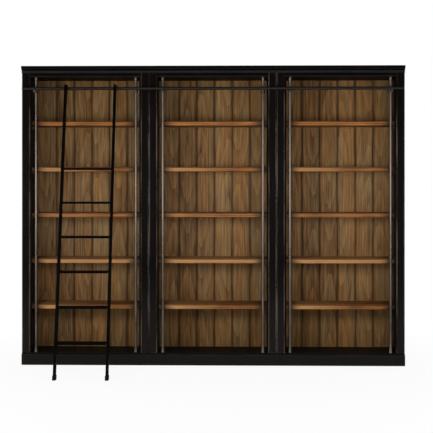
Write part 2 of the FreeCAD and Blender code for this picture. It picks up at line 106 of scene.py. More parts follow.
# Ladder, from the axis of the rail outwards: saddles, hooks, stringers with their feet, and treads.
LEAN = radians(13)
LADDER_SPACING = 390 * MM
SADDLE_INNER = RAIL_RADIUS + CLEARANCE
SADDLE_FLOOR = SADDLE_INNER + 2.5 * MM
SADDLE_RIM = SADDLE_FLOOR + 5.5 * MM
SADDLE_FLANGE = 2 * MM
SADDLE_WRAP = radians(160)
SADDLE_STEPS = 24
HOOK_WIDTH = 20 * MM
HOOK_INNER = SADDLE_FLOOR + CLEARANCE
HOOK_OUTER = HOOK_INNER + 8 * MM
HOOK_WRAP = radians(150)
HOOK_STEPS = 16
HOOK_SHANK = 140 * MM
STRINGER_WIDTH = 20 * MM
STRINGER_HEAD = 14 * MM
STRINGER_BACK = HOOK_OUTER
STRINGER_FRONT = STRINGER_BACK + 40 * MM
FOOT_WALL = 3 * MM
FOOT_HEIGHT = 34 * MM
FOOT_SOLE = 8 * MM
TREAD_COUNT = 6
TREAD_RISE = 260.5 * MM
LOWEST_TREAD = 271 * MM
TREAD_DEPTH = 85 * MM
TREAD_LIP = 16 * MM
TREAD_GAUGE = 3 * MM
TREAD_BEND = 5 * MM

# Widths that the arrises are eased by, and how far in from them a piece is rubbed or handled.
PANEL_EASE = 1.2 * MM
FRAME_EASE = 1 * MM
STOP_EASE = 1.5 * MM
CROWN_EASE = 0.8 * MM
BOARD_EASE = 0.8 * MM
PLANK_EASE = 0.4 * MM
SHELF_EASE = 1 * MM
SADDLE_EASE = 0.4 * MM
HOOK_EASE = 0.8 * MM
STRINGER_EASE = 2.5 * MM
FOOT_EASE = 2 * MM
TREAD_EASE = 0.5 * MM
EASED_STRIP = 1.7 * MM
RUBBED_REACH = 2 * MM
HANDLED_REACH = 6 * MM
# Faces are picked by height with this margin.
MARGIN = 1 * MM

# Limits of the modelling operations.
SHARP_ANGLE = radians(25)
SMOOTH_ANGLE = radians(40)
MERGE_DISTANCE = 0.01 * MM


# Modelling, one hand operation each.
def deselect():
    bpy.ops.object.select_all(action="DESELECT")


def take_up(piece):
    """Make one piece the selected and active one."""
    deselect()
    piece.select_set(True)
    bpy.context.view_layer.objects.active = piece


def name_piece(piece, name):
    piece.name = piece.data.name = name
    return piece


def arc(across, up, radius, start, end, steps=8):
    """Points on an arc, from one angle to another, in degrees."""
    turns = [radians(start + (end - start) * step / steps) for step in range(steps + 1)]
    return [(across + radius * cos(turn), up + radius * sin(turn)) for turn in turns]


def saw(name, outline, axis, start, end):
    """Set a flat n-gon's corners on an outline and draw it out along an axis to a closed piece."""
    deselect()
    bpy.ops.mesh.primitive_circle_add(vertices=len(outline), fill_type="NGON")
    piece = name_piece(bpy.context.object, name)
    across, up = (other for other in (X, Y, Z) if other != axis)
    for vertex, corner in zip(piece.data.vertices, outline):
        vertex.co[axis] = start
        vertex.co[across], vertex.co[up] = corner
    reach = [0, 0, 0]
    reach[axis] = end - start
    bpy.ops.object.mode_set(mode="EDIT")
    bpy.ops.mesh.select_all(action="SELECT")
    bpy.ops.mesh.extrude_region_move(TRANSFORM_OT_translate={"value": reach})
    bpy.ops.mesh.select_all(action="SELECT")
    bpy.ops.mesh.normals_make_consistent(inside=False)
    bpy.ops.object.mode_set(mode="OBJECT")
    return piece


def turn(name, profile, centre, axis, outward, sweep=2 * pi, steps=40, closed=False):
    """Spin a profile of radius and distance along the axis, as on a lathe."""
    deselect()
    bpy.ops.mesh.primitive_circle_add(vertices=len(profile), fill_type="NOTHING")
    piece = name_piece(bpy.context.object, name)
    for vertex, (radius, along) in zip(piece.data.vertices, profile):
        vertex.co = centre + outward * radius + axis * along
    ends = {0, len(profile) - 1}
    for edge in piece.data.edges:
        edge.select = set(edge.vertices) == ends and not closed
    bpy.context.tool_settings.mesh_select_mode = (False, True, False)
    bpy.ops.object.mode_set(mode="EDIT")
    if not closed:
        bpy.ops.mesh.delete(type="EDGE_FACE")
    bpy.ops.mesh.select_all(action="SELECT")
    bpy.ops.mesh.spin(steps=steps, angle=sweep, center=centre, axis=axis)
    bpy.ops.mesh.select_all(action="SELECT")
    bpy.ops.mesh.remove_doubles(threshold=MERGE_DISTANCE)
    if sweep < 2 * pi:
        bpy.ops.mesh.fill_holes(sides=0)
    bpy.ops.mesh.select_all(action="SELECT")
    bpy.ops.mesh.normals_make_consistent(inside=False)
    bpy.ops.object.mode_set(mode="OBJECT")
    bpy.ops.object.shade_smooth_by_angle(angle=SMOOTH_ANGLE)
    return piece


def join(name, pieces):
    deselect()
    for piece in pieces:
        piece.select_set(True)
    bpy.context.view_layer.objects.active = pieces[0]
    bpy.ops.object.join()
    return name_piece(pieces[0], name)


def copy(piece, name, shift):
    """Copy a piece with a mesh of its own and move that mesh."""
    twin = piece.copy()
    twin.data = piece.data.copy()
    bpy.context.collection.objects.link(twin)
    twin.data.transform(Matrix.Translation(shift))
    return name_piece(twin, name)


def ease(piece, width, segments=2):
    """Take the sharp arrises off a piece, as sanding or a folded edge does."""
    take_up(piece)
    bevel = piece.modifiers.new("Arris", "BEVEL")
    bevel.width = width
    bevel.segments = segments
    bevel.limit_method = "ANGLE"
    bevel.angle_limit = SHARP_ANGLE
    bpy.ops.object.modifier_apply(modifier=bevel.name)
    bpy.ops.object.shade_smooth_by_angle(angle=SMOOTH_ANGLE)
    return piece


def face_width(mesh, face):
    """Area of a face over its longest edge."""
    points = mesh.vertices
    return face.area / max((points[start].co - points[end].co).length for start, end in face.edge_keys)


def set_wear_and_shading(mesh, corners):
    """Keep the marks of all face corners in the mesh: 1 rubbed arris and painted highlight, 0 open, -1
    painted shade.
    """
    mesh.attributes.new("arris", "FLOAT", "CORNER").data.foreach_set("value", corners)


def keep_black(piece):
    """Mark a whole piece -1 as painted shade, so it keeps its full coat."""
    set_wear_and_shading(piece.data, [-1.0] * len(piece.data.loops))
    return piece


def fronts(face, heights):
    """True for a face that looks to the front with its middle between two heights."""
    return face.normal.y < 0 and abs(face.normal.x) < 0.5 and heights[0] < face.center.z < heights[1]


def mark_wear_and_shading(piece, reach=RUBBED_REACH, worked_and_lit=(0, 0), shaded_heights=()):
    """Inset the broad four-sided faces, then mark face corners for the rubbed finishes.

    Eased strips are rubbed; fronts between the worked heights are marked rubbed as a painted highlight, and
    fronts between the sheltered heights are marked -1 as painted shade and keep their full coat.
    """
    take_up(piece)
    mesh = piece.data
    for face in mesh.polygons:
        face.select = len(face.vertices) == 4 and face_width(mesh, face) > 3 * reach
    bpy.context.tool_settings.mesh_select_mode = (False, False, True)
    bpy.ops.object.mode_set(mode="EDIT")
    bpy.ops.mesh.inset(thickness=reach, use_individual=True)
    bpy.ops.object.mode_set(mode="OBJECT")
    marks = [0.0] * len(mesh.vertices)
    for face in mesh.polygons:
        worn_and_lit = face_width(mesh, face) < EASED_STRIP or fronts(face, worked_and_lit)
        for index in face.vertices:
            marks[index] = max(marks[index], float(worn_and_lit))
    corners = []
    for face in mesh.polygons:
        if any(fronts(face, heights) for heights in shaded_heights):
            corners += [-1.0] * len(face.vertices)
        elif len(face.vertices) > 4:
            corners += [0.0] * len(face.vertices)
        else:
            corners += [marks[index] for index in face.vertices]
    set_wear_and_shading(mesh, corners)
    return piece


# Finishes, each on Object coordinates in metres.

# The rings of the wave pattern lie this far apart at a scale of 1.
WAVE_PERIOD = 0.314
# Heights above the floor between which the painted light from the floor fades out, and between which the
# rubbing grows less.
FLOOR_LIGHT_LOW, FLOOR_LIGHT_HIGH = 0.15, 0.85
REACH_EASY, REACH_END = 1.7, 2.3
# The boards of two cases a metre apart are cut this many boards apart from the log.
CASE_STRIDE = 23.1


def srgb(code):
    """Turn an sRGB hex colour to linear red, green, blue and alpha."""
    shares = [int(code[place:place + 2], 16) / 255 for place in (1, 3, 5)]
    return [s / 12.92 if s <= 0.04045 else ((s + 0.055) / 1.055) ** 2.4 for s in shares] + [1]


def add(tree, kind, inputs=None, **settings):
    """Add a node, set its options, and fill its sockets with values, sockets or the results of nodes."""
    made = tree.nodes.new(f"ShaderNode{kind}")
    for name, value in settings.items():
        setattr(made, name, value)
    for socket, value in (inputs or {}).items():
        if isinstance(value, bpy.types.Node):
            value = next(result for result in value.outputs if result.enabled)
        if isinstance(value, bpy.types.NodeSocket):
            tree.links.new(value, made.inputs[socket])
        else:
            made.inputs[socket].default_value = value
    return made


def new_finish(name):
    """Start a material with an empty tree and return it with the tree and the Object coordinates."""
    finish = bpy.data.materials.new(name)
    finish.use_nodes = True
    finish.node_tree.nodes.clear()
    return finish, finish.node_tree, add(finish.node_tree, "TexCoord").outputs["Object"]


def close_finish(tree, sockets):
    """End a material in one shader."""
    shader = add(tree, "BsdfPrincipled", sockets)
    add(tree, "OutputMaterial", {"Surface": shader})


def spread(along, length, width):
    """Scale that makes a pattern so long on one axis and so wide on the others."""
    scale = [1 / width] * 3
    scale[along] = 1 / length
    return scale


def log_spread(width, length, apart):
    """Scale that makes a pattern so wide and so long in the log, with the boards so far apart in it."""
    return [1 / width, apart, 1 / length]


def tone_by_board(tree, number, first, shares):
    """Grey level that steps from board to board, from the place counted in boards."""
    share = add(tree, "MapRange", {0: number, 1: first, 2: first + len(shares)})
    tones = add(tree, "ValToRGB", {0: share})
    stops = tones.color_ramp.elements
    tones.color_ramp.interpolation = "CONSTANT"
    for step, level in enumerate(shares):
        stop = stops[0] if step == 0 else stops.new(step / len(shares))
        stop.color = (level, level, level, 1)
    stops.remove(stops[len(shares)])
    return tones


def across_case(tree, x):
    """Distance to the right of the middle of the case, which repeats with the case module."""
    return add(tree, "Math", {0: x, 1: MODULE / 2, 2: -MODULE / 2}, operation="WRAP")


def milk_coat(tree, arris, height, brush, cloud, colours, scuffed):
    """Colour of the coat: cloudy black, greyed low down as painted light from the floor except on fronts
    marked as painted shade, thin along the brush marks.
    """
    dark, light, worked_thin = colours
    coat = add(tree, "Mix", {0: cloud, 6: srgb(dark), 7: srgb(light)}, data_type="RGBA")
    # Painted light from the bright floor: the coat greys low down and fades out with height.
    low_down = {0: height, 1: FLOOR_LIGHT_LOW, 2: FLOOR_LIGHT_HIGH, 3: scuffed, 4: 0}
    floor_light_share = add(tree, "MapRange", low_down, interpolation_type="SMOOTHSTEP")
    # Fronts marked -1 are painted shade and get none of the painted floor light.
    outside_painted_shade = add(tree, "MapRange", {0: arris, 1: -1, 2: 0})
    floor_light_outside_shade = add(tree, "Math", {0: floor_light_share, 1: outside_painted_shade}, operation="MULTIPLY")
    greyed = add(tree, "Mix", {0: floor_light_outside_shade, 6: coat, 7: srgb("#221f1e")}, data_type="RGBA")
    # Fronts marked 1 as a painted highlight are worked thin and grey like the rubbed arrises; fronts marked
    # -1 as painted shade stay full black.
    worked_and_lit = add(tree, "Math", {0: arris, 1: 0.3, 2: brush}, operation="MULTIPLY_ADD")
    thin = add(tree, "MapRange", {0: worked_and_lit, 1: 0.56, 2: 0.8, 3: 0, 4: 0.6})
    return add(tree, "Mix", {0: thin, 6: greyed, 7: srgb(worked_thin)}, data_type="RGBA")


def bared_share(tree, place, along, arris, height, rubbing):
    """Share of bare wood: the rubbing comes and goes in strokes 320 mm long and frays at 4 mm."""
    lengths = add(tree, "Mapping", {"Vector": place, "Scale": spread(along, 320 * MM, 30 * MM)})
    strokes = add(tree, "TexNoise", {"Vector": lengths, "Scale": 1, "Detail": 2})
    frayed = add(tree, "Mapping", {"Vector": place, "Scale": spread(along, 22 * MM, 4 * MM)})
    fray = add(tree, "TexNoise", {"Vector": frayed, "Scale": 1, "Detail": 3})
    rough_edge = add(tree, "Math", {0: fray, 1: 0.7, 2: strokes}, operation="MULTIPLY_ADD")
    reached = add(tree, "MapRange", {0: height, 1: REACH_EASY, 2: REACH_END, 3: 0.9, 4: 0.75})
    # Marks of painted highlight rub a front more, and marks of painted shade rub it less.
    worn_and_lit = add(tree, "Math", {0: arris, 1: reached, 2: rough_edge}, operation="MULTIPLY_ADD")
    bare = {0: worn_and_lit, 1: rubbing, 2: rubbing + 0.35}
    return add(tree, "MapRange", bare, interpolation_type="SMOOTHSTEP")


def rubbed_black_paint(name, along, colours, rubbing, scuffed, specular=0.02):
    """Black milk paint brushed on pine and rubbed through to the wood along the arrises, with painted
    highlights and painted shade on marked fronts and painted floor light low down.
    """
    finish, tree, place = new_finish(name)
    height = add(tree, "SeparateXYZ", {0: place}).outputs["Z"]
    arris = add(tree, "Attribute", attribute_name="arris").outputs["Fac"]
    # Brush marks 3 mm wide run with the board, over cloudy patches a hand wide.
    brushed = add(tree, "Mapping", {"Vector": place, "Scale": spread(along, 260 * MM, 3 * MM)})
    brush = add(tree, "TexNoise", {"Vector": brushed, "Scale": 1, "Detail": 4, "Roughness": 0.6})
    cloud = add(tree, "TexNoise", {"Vector": place, "Scale": 1 / (110 * MM), "Detail": 3})
    coat = milk_coat(tree, arris, height, brush, cloud, colours, scuffed)
    bare = bared_share(tree, place, along, arris, height, rubbing)
    wood = add(tree, "Mix", {0: brush, 6: srgb("#352e2a"), 7: srgb("#73685e")}, data_type="RGBA")
    colour = add(tree, "Mix", {0: bare, 6: coat, 7: wood}, data_type="RGBA")
    rough = add(tree, "MapRange", {0: bare, 3: 0.42, 4: 0.75})
    relief = add(tree, "Bump", {"Height": brush, "Strength": 0.35, "Distance": 0.4 * MM})
    close_finish(tree, {
        "Base Color": colour,
        "Roughness": rough,
        "Specular IOR Level": specular,
        "Normal": relief,
    })
    return finish


def plank_places(tree, place):
    """Where a point of the back lies: in its case, in its board and in the log the board was cut from."""
    axes = add(tree, "SeparateXYZ", {0: place})
    in_case = across_case(tree, axes.outputs["X"])
    # The outer boards are wider than the pitch, so the count stops at them.
    from_joint = add(tree, "Math", {0: in_case, 1: BOARD_JOINTS[0]}, operation="SUBTRACT")
    boards = add(tree, "Math", {0: from_joint, 1: BOARD_PITCH}, operation="DIVIDE")
    counted = add(tree, "Clamp", {0: boards, 1: -0.5, 2: len(BOARD_JOINTS) - 0.5})
    number = add(tree, "Math", {0: counted}, operation="FLOOR")
    share = add(tree, "Math", {0: counted}, operation="FRACT")
    # Each board is cut from another place in the log, so the grain stops at its edges.
    case_start = add(tree, "Math", {0: axes.outputs["X"], 1: in_case}, operation="SUBTRACT")
    log_place = add(tree, "Math", {0: case_start, 1: CASE_STRIDE, 2: number}, operation="MULTIPLY_ADD")
    return SimpleNamespace(
        height=axes.outputs["Z"],
        in_case=in_case,
        number=number,
        in_board=add(tree, "Math", {0: boards, 1: number}, operation="SUBTRACT"),
        to_joint=add(tree, "Math", {0: share, 1: 0.5}, operation="PINGPONG"),
        log_place=log_place,
        in_log=add(tree, "CombineXYZ", {"X": axes.outputs["X"], "Y": log_place, "Z": axes.outputs["Z"]}),
    )


def cathedral_figure(tree, at):
    """Long nested arches 28 mm apart about the heart of each board."""
    heart = add(tree, "Math", {0: at.log_place, 1: 2.3}, operation="MULTIPLY")
    heart_side = add(tree, "Math", {0: heart}, operation="SINE")
    across = add(tree, "Math", {0: at.in_board, 1: BOARD_PITCH}, operation="MULTIPLY")
    from_heart = add(tree, "Math", {0: heart_side, 1: 45 * MM, 2: across}, operation="MULTIPLY_ADD")
    up_log = add(tree, "Math", {0: at.log_place, 1: 0.37, 2: at.height}, operation="MULTIPLY_ADD")
    arch = add(tree, "Math", {0: up_log, 1: 0.9}, operation="PINGPONG")
    in_arch = add(tree, "CombineXYZ", {"X": from_heart, "Y": at.log_place, "Z": arch})
    ringed = add(tree, "Mapping", {"Vector": in_arch, "Location": [-70 * MM, 0, 0], "Scale": [1, 0, 0.11]})
    rings = add(tree, "TexWave", {
        "Vector": ringed,
        "Scale": WAVE_PERIOD / (28 * MM),
        "Distortion": 8,
        "Detail": 4,
        "Detail Scale": 0.9,
    }, wave_type="RINGS", rings_direction="SPHERICAL", wave_profile="SAW")
    return rings.outputs["Fac"]


def plank_colour(tree, at, streak, blotch):
    """Colour of the wood, from the board's own tone, the figure, the fibres, the blotches and the pores."""
    pores = add(tree, "Mapping", {"Vector": at.in_log, "Scale": log_spread(3.5 * MM, 150 * MM, 7.3)})
    pore = add(tree, "TexNoise", {"Vector": pores, "Scale": 1, "Detail": 3, "Roughness": 0.6})
    # Tone of each board from left to right, from a darker to a lighter stain.
    tones = tone_by_board(tree, at.number, -1.5, (0.3, 0.2, 0.32, 0.54, 0.54, 0.54))
    figure = add(tree, "Math", {0: cathedral_figure(tree, at), 1: 0.42, 2: tones}, operation="MULTIPLY_ADD")
    fibres = add(tree, "Math", {0: streak, 1: 2.2, 2: figure}, operation="MULTIPLY_ADD")
    clouds = add(tree, "Math", {0: blotch, 1: 0.9, 2: fibres}, operation="MULTIPLY_ADD")
    pored = add(tree, "Math", {0: pore, 1: 0.9, 2: clouds}, operation="MULTIPLY_ADD")
    tone = add(tree, "MapRange", {0: pored, 1: 1.93, 2: 3.45})
    # The stain took redder on some stretches of a board and greyer on others.
    hued = add(tree, "Mapping", {"Vector": at.in_log, "Scale": log_spread(90 * MM, 600 * MM, 5.7)})
    hue = add(tree, "TexNoise", {"Vector": hued, "Scale": 1, "Detail": 2})
    redder = add(tree, "MapRange", {0: hue, 1: 0.35, 2: 0.65})
    pale = add(tree, "Mix", {0: redder, 6: srgb("#a08358"), 7: srgb("#ac7d4a")}, data_type="RGBA")
    return add(tree, "Mix", {0: tone, 6: srgb("#4a3119"), 7: pale}, data_type="RGBA")


def joint_stain_and_side_shade(tree, at, blotch):
    """Share of darkening: stain gathered in the joints, and painted shade beside the side panels."""
    uneven = add(tree, "Math", {0: blotch, 1: 0.1, 2: at.to_joint}, operation="MULTIPLY_ADD")
    in_joint = add(tree, "MapRange", {0: uneven, 1: 0.06, 2: 0.18, 3: 0.75, 4: 0})
    # Painted shade: the boards darken towards the side panels, where the sides and stiles shade them.
    off_middle = add(tree, "Math", {0: at.in_case}, operation="ABSOLUTE")
    beside = add(tree, "MapRange", {0: off_middle, 1: 425 * MM, 2: 460 * MM, 3: 0, 4: 0.75})
    return add(tree, "Math", {0: in_joint, 1: beside}, operation="MAXIMUM")


def stained_planks():
    """Rough pine boards, each stained a little differently, dark where the stain gathered in the joints, with
    painted shade beside the side panels.
    """
    finish, tree, place = new_finish("StainedPinePlanks")
    at = plank_places(tree, place)
    fibre = add(tree, "Mapping", {"Vector": at.in_log, "Scale": log_spread(9 * MM, 420 * MM, 7.3)})
    streak = add(tree, "TexNoise", {
        "Vector": fibre,
        "Scale": 1,
        "Detail": 5,
        "Roughness": 0.62,
        "Distortion": 0.5,
    })
    blotched = add(tree, "Mapping", {"Vector": at.in_log, "Scale": log_spread(60 * MM, 260 * MM, 3.1)})
    blotch = add(tree, "TexNoise", {"Vector": blotched, "Scale": 1, "Detail": 3})
    colour = plank_colour(tree, at, streak, blotch)
    stain_and_side_shade = joint_stain_and_side_shade(tree, at, blotch)
    darkened = add(tree, "Mix", {0: stain_and_side_shade, 6: colour, 7: srgb("#2e1d0f")}, data_type="RGBA")
    rough = add(tree, "MapRange", {0: streak, 3: 0.72, 4: 0.5})
    relief = add(tree, "Bump", {"Height": streak, "Strength": 0.5, "Distance": 0.8 * MM})
    close_finish(tree, {
        "Base Color": darkened,
        "Roughness": rough,
        "Specular IOR Level": 0.1,
        "Normal": relief,
    })
    return finish


def pale_shelf_and_side_light(tree, number, in_case):
    """Shares of paler colour, from a paler shelf and painted light towards the left ends, and of darker
    colour, painted shade towards the right ends, board by board.
    """
    pale_board = tone_by_board(tree, number, 0, (0.0, 0.42, 0.0, 0.0, 0.0))
    fade = tone_by_board(tree, number, 0, (1.0, 0.6, 0.1, 0.65, 0.0))
    leftward = add(tree, "MapRange", {0: in_case, 1: -380 * MM, 2: 120 * MM, 3: 0.6, 4: 0})
    rightward = add(tree, "MapRange", {0: in_case, 1: -60 * MM, 2: 380 * MM, 3: 0, 4: 0.3})
    faded = add(tree, "Math", {0: leftward, 1: fade}, operation="MULTIPLY")
    pale_shelf_and_left_light = add(tree, "Math", {0: pale_board, 1: faded}, operation="MAXIMUM")
    right_end_shade = add(tree, "Math", {0: rightward, 1: fade}, operation="MULTIPLY")
    return pale_shelf_and_left_light, right_end_shade


def shelf_colour(tree, place, streak, blotch, pale_shelf_and_left_light):
    """Colour of the waxed wood, with rings 15 mm apart and paler arrises where hands have worn them."""
    ringed = add(tree, "Mapping", {"Vector": place, "Scale": [0.09, 1, 1]})
    rings = add(tree, "TexWave", {
        "Vector": ringed,
        "Scale": WAVE_PERIOD / (15 * MM),
        "Distortion": 7,
        "Detail": 2,
        "Detail Scale": 0.6,
    }, bands_direction="Z")
    fibres = add(tree, "Math", {0: streak, 1: 0.9, 2: blotch}, operation="MULTIPLY_ADD")
    figure = add(tree, "Math", {0: rings.outputs["Fac"], 1: 0.28, 2: fibres}, operation="MULTIPLY_ADD")
    tone = add(tree, "MapRange", {0: figure, 1: 0.72, 2: 1.7})
    honey = add(tree, "Mix", {0: tone, 6: srgb("#512b0b"), 7: srgb("#b67638")}, data_type="RGBA")
    # Paler for a paler shelf, and painted light towards the left ends.
    colour = add(tree, "Mix", {0: pale_shelf_and_left_light, 6: honey, 7: srgb("#cb9a63")}, data_type="RGBA")
    arris = add(tree, "Attribute", attribute_name="arris")
    handled = add(tree, "Math", {0: arris.outputs["Fac"], 1: streak}, operation="MULTIPLY")
    worn = add(tree, "MapRange", {0: handled, 1: 0.5, 2: 0.8, 3: 0, 4: 0.35})
    return add(tree, "Mix", {0: worn, 6: colour, 7: srgb("#b67f44")}, data_type="RGBA")


def post_and_top_shade_share(tree, depth, in_case, blotch, front):
    """Share of painted shade: painted shadows of the posts at the ends of the front edge, and painted shade
    on the top behind the nose.
    """
    off_middle = add(tree, "Math", {0: in_case}, operation="ABSOLUTE")
    frayed = add(tree, "Math", {0: blotch, 1: 80 * MM, 2: off_middle}, operation="MULTIPLY_ADD")
    ends = add(tree, "MapRange", {0: frayed, 1: 345 * MM, 2: 415 * MM, 3: 0, 4: 0.8})
    inward = add(tree, "MapRange", {0: depth, 1: front + 8 * MM, 2: front + 40 * MM, 3: 0, 4: 0.4})
    return add(tree, "Math", {0: ends, 1: inward}, operation="MAXIMUM")


def nose_shade_line(tree, number, thickness):
    """Share of painted shade in a line along the top of the front edge, where the rounded nose turns from the
    light.

    The underside of a shelf lies half-way through a count, and its thickness is a share of the pitch.
    """
    level = add(tree, "Math", {0: number}, operation="FRACT")
    off_line = add(tree, "Math", {0: level, 1: 0.5 + 0.88 * thickness}, operation="SUBTRACT")
    beside = add(tree, "Math", {0: off_line}, operation="ABSOLUTE")
    return add(tree, "MapRange", {0: beside, 1: 0.07 * thickness, 2: 0.13 * thickness, 3: 0.85, 4: 0})


def waxed_shelf_pine():
    """Thick pine boards stained a honey brown and rubbed with wax, with the grain from side to side."""
    finish, tree, place = new_finish("WaxedShelfPine")
    low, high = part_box("middle_case_shelf_1")
    pitch = (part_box(f"middle_case_shelf_{SHELF_COUNT}")[0].z - low.z) / (SHELF_COUNT - 1)
    axes = add(tree, "SeparateXYZ", {0: place})
    in_case = across_case(tree, axes.outputs["X"])
    above = add(tree, "Math", {0: axes.outputs["Z"], 1: low.z - pitch / 2}, operation="SUBTRACT")
    number = add(tree, "Math", {0: above, 1: pitch}, operation="DIVIDE")
    fibre = add(tree, "Mapping", {"Vector": place, "Scale": spread(X, 420 * MM, 4 * MM)})
    streak = add(tree, "TexNoise", {"Vector": fibre, "Scale": 1, "Detail": 5, "Roughness": 0.62})
    blotched = add(tree, "Mapping", {"Vector": place, "Scale": spread(X, 190 * MM, 50 * MM)})
    blotch = add(tree, "TexNoise", {"Vector": blotched, "Scale": 1, "Detail": 3})
    pale_shelf_and_left_light, right_end_shade = pale_shelf_and_side_light(tree, number, in_case)
    colour = shelf_colour(tree, place, streak, blotch, pale_shelf_and_left_light)
    # Painted shadows of the posts on the ends of the front edge, and painted shade on the top.
    post_and_top_shade = post_and_top_shade_share(tree, axes.outputs["Y"], in_case, blotch, low.y)
    # Painted shade along the top of the nose.
    line = nose_shade_line(tree, number, (high.z - low.z) / pitch)
    darkened = add(tree, "Math", {0: post_and_top_shade, 1: line}, operation="MAXIMUM")
    # Painted shade towards the right ends.
    darker = add(tree, "Math", {0: darkened, 1: right_end_shade}, operation="MAXIMUM")
    dressed = add(tree, "Mix", {0: darker, 6: colour, 7: srgb("#331b0a")}, data_type="RGBA")
    rough = add(tree, "MapRange", {0: streak, 3: 0.58, 4: 0.38})
    relief = add(tree, "Bump", {"Height": streak, "Strength": 0.35, "Distance": 0.5 * MM})
    close_finish(tree, {
        "Base Color": dressed,
        "Roughness": rough,
        "Specular IOR Level": 0.12,
        "Normal": relief,
    })
    return finish


def mottled(name, dark, light, patch, rough, grain, relief, metallic=0.0, specular=0.5, drawn=1):
    """Even coat or metal whose tone drifts over a patch size and whose surface has a fine grain.

    On a drawn rod the grain is so many times as long as it is wide.
    """
    finish, tree, place = new_finish(name)
    drift = add(tree, "TexNoise", {"Vector": place, "Scale": 1 / patch, "Detail": 4, "Roughness": 0.6})
    tone = add(tree, "MapRange", {0: drift, 1: 0.3, 2: 0.7})
    colour = add(tree, "Mix", {0: tone, 6: srgb(dark), 7: srgb(light)}, data_type="RGBA")
    grained = add(tree, "Mapping", {"Vector": place, "Scale": spread(Z, drawn * grain, grain)})
    fine = add(tree, "TexNoise", {"Vector": grained, "Scale": 1, "Detail": 2})
    gloss = add(tree, "MapRange", {0: drift, 1: 0.3, 2: 0.7, 3: rough - 0.08, 4: rough + 0.08})
    bump = add(tree, "Bump", {"Height": fine, "Strength": 0.4, "Distance": relief})
    close_finish(tree, {
        "Base Color": colour,
        "Metallic": metallic,
        "Roughness": gloss,
        "Specular IOR Level": specular,
        "Normal": bump,
    })
    return finish


# Black milk paint shows its brush marks along the board, so uprights and level boards each have their own.
# The crown is out of reach and hardly worn, all that stands low is greyed as painted light from the floor,
# the level boards less, and the broad sides are waxed and coated lighter as painted light.
UPRIGHT_BLACKS = ("#040302", "#0d0908", "#241e1b")
# The sides get a lighter coat than the uprights, painted light that brings out their brush marks in dim side
# light.
SIDE_BLACKS = ("#0d0a09", "#1d1815", "#3a322d")
LEVEL_BLACKS = ("#020202", "#080606", "#2c2929")
SKIRT_BLACKS = ("#070606", "#141211", "#2c2928")
upright_paint = rubbed_black_paint(
    "RubbedBlackPaintUpright", Z, UPRIGHT_BLACKS, rubbing=1.58, scuffed=0.75,
)
side_paint = rubbed_black_paint(
    "WaxedBlackPaintSides", Z, SIDE_BLACKS, rubbing=1.58, scuffed=0.75, specular=0.14,
)
level_paint = rubbed_black_paint(
    "RubbedBlackPaintLevel", X, LEVEL_BLACKS, rubbing=1.85, scuffed=0.3,
)
skirt_paint = rubbed_black_paint(
    "ScuffedBlackPaintSkirt", X, SKIRT_BLACKS, rubbing=1.78, scuffed=0.75,
)
plank_wood = stained_planks()
shelf_wood = waxed_shelf_pine()
# Drawn steel rod, blued and then dulled by handling: a warm grey with brown patches.
# The draw lines spread the gloss round the rod; they are drawn wider than in truth, so that they show.
post_steel = mottled(
    "DulledSteelRod", "#4b453f", "#605952",
    patch=120 * MM, rough=0.31, grain=1.5 * MM, relief=1 * MM, metallic=1.0, drawn=270,
)
# Steel tube in dark bronze powder coat: the baked grains leave a fine orange peel.
rail_coat = mottled(
    "BronzePowderCoat", "#0b0806", "#150f0b",
    patch=60 * MM, rough=0.34, grain=2 * MM, relief=0.03 * MM, specular=0.15,
)
# Steel tube and plate in matt black powder coat.
ladder_coat = mottled(
    "BlackPowderCoat", "#020202", "#050404",
    patch=90 * MM, rough=0.55, grain=2 * MM, relief=0.03 * MM, specular=0.02,
)
# Bright zinc plating on rolled steel: pale grey with soft spangles.
zinc = mottled(
    "ZincPlatedSteel", "#8b8c8a", "#b2b3b0",
    patch=12 * MM, rough=0.36, grain=1 * MM, relief=0.03 * MM, metallic=1.0,
)
# Black cast nylon, slightly waxy from sliding.
nylon = mottled(
    "BlackNylon", "#101010", "#1c1c1b",
    patch=15 * MM, rough=0.4, grain=1 * MM, relief=0.04 * MM, specular=0.4,
)
# Dark brown moulded polyethylene.
polyethylene = mottled(
    "BrownPolyethylene", "#1d1915", "#2a241f",
    patch=10 * MM, rough=0.5, grain=1 * MM, relief=0.05 * MM, specular=0.4,
)
# Black moulded rubber, matt and dusty.
rubber = mottled(
    "BlackRubber", "#050505", "#0d0c0b",
    patch=12 * MM, rough=0.8, grain=1 * MM, relief=0.12 * MM, specular=0.08,
)


def hand_in(piece, node, finish, body="bookcase"):
    """Give a finished piece its finish, its body and the CAD node it stands for."""
    piece.data.materials.clear()
    piece.data.materials.append(finish)
    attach(piece, body)
    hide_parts(node)


# Pieces of the middle case, by the names of their CAD nodes.
def case_sides():
    """Side panels, rebated behind for the back boards."""
    sides = {}
    for hand, sign in (("left", -1), ("right", 1)):
        low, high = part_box(f"middle_case_{hand}_side")
        outer = sign * MODULE / 2
        inner = outer - sign * SIDE_THICKNESS
        step = outer - sign * (SIDE_THICKNESS - REBATE_WIDTH)
        outline = [(outer, low.y), (inner, low.y), (inner, high.y - REBATE_DEPTH)]
        outline += [(step, high.y - REBATE_DEPTH), (step, high.y), (outer, high.y)]
        panel = saw(f"middle_{hand}_side_panel", outline, Z, low.z, high.z)
        sides[f"{hand}_side"] = mark_wear_and_shading(ease(panel, PANEL_EASE))
    return sides


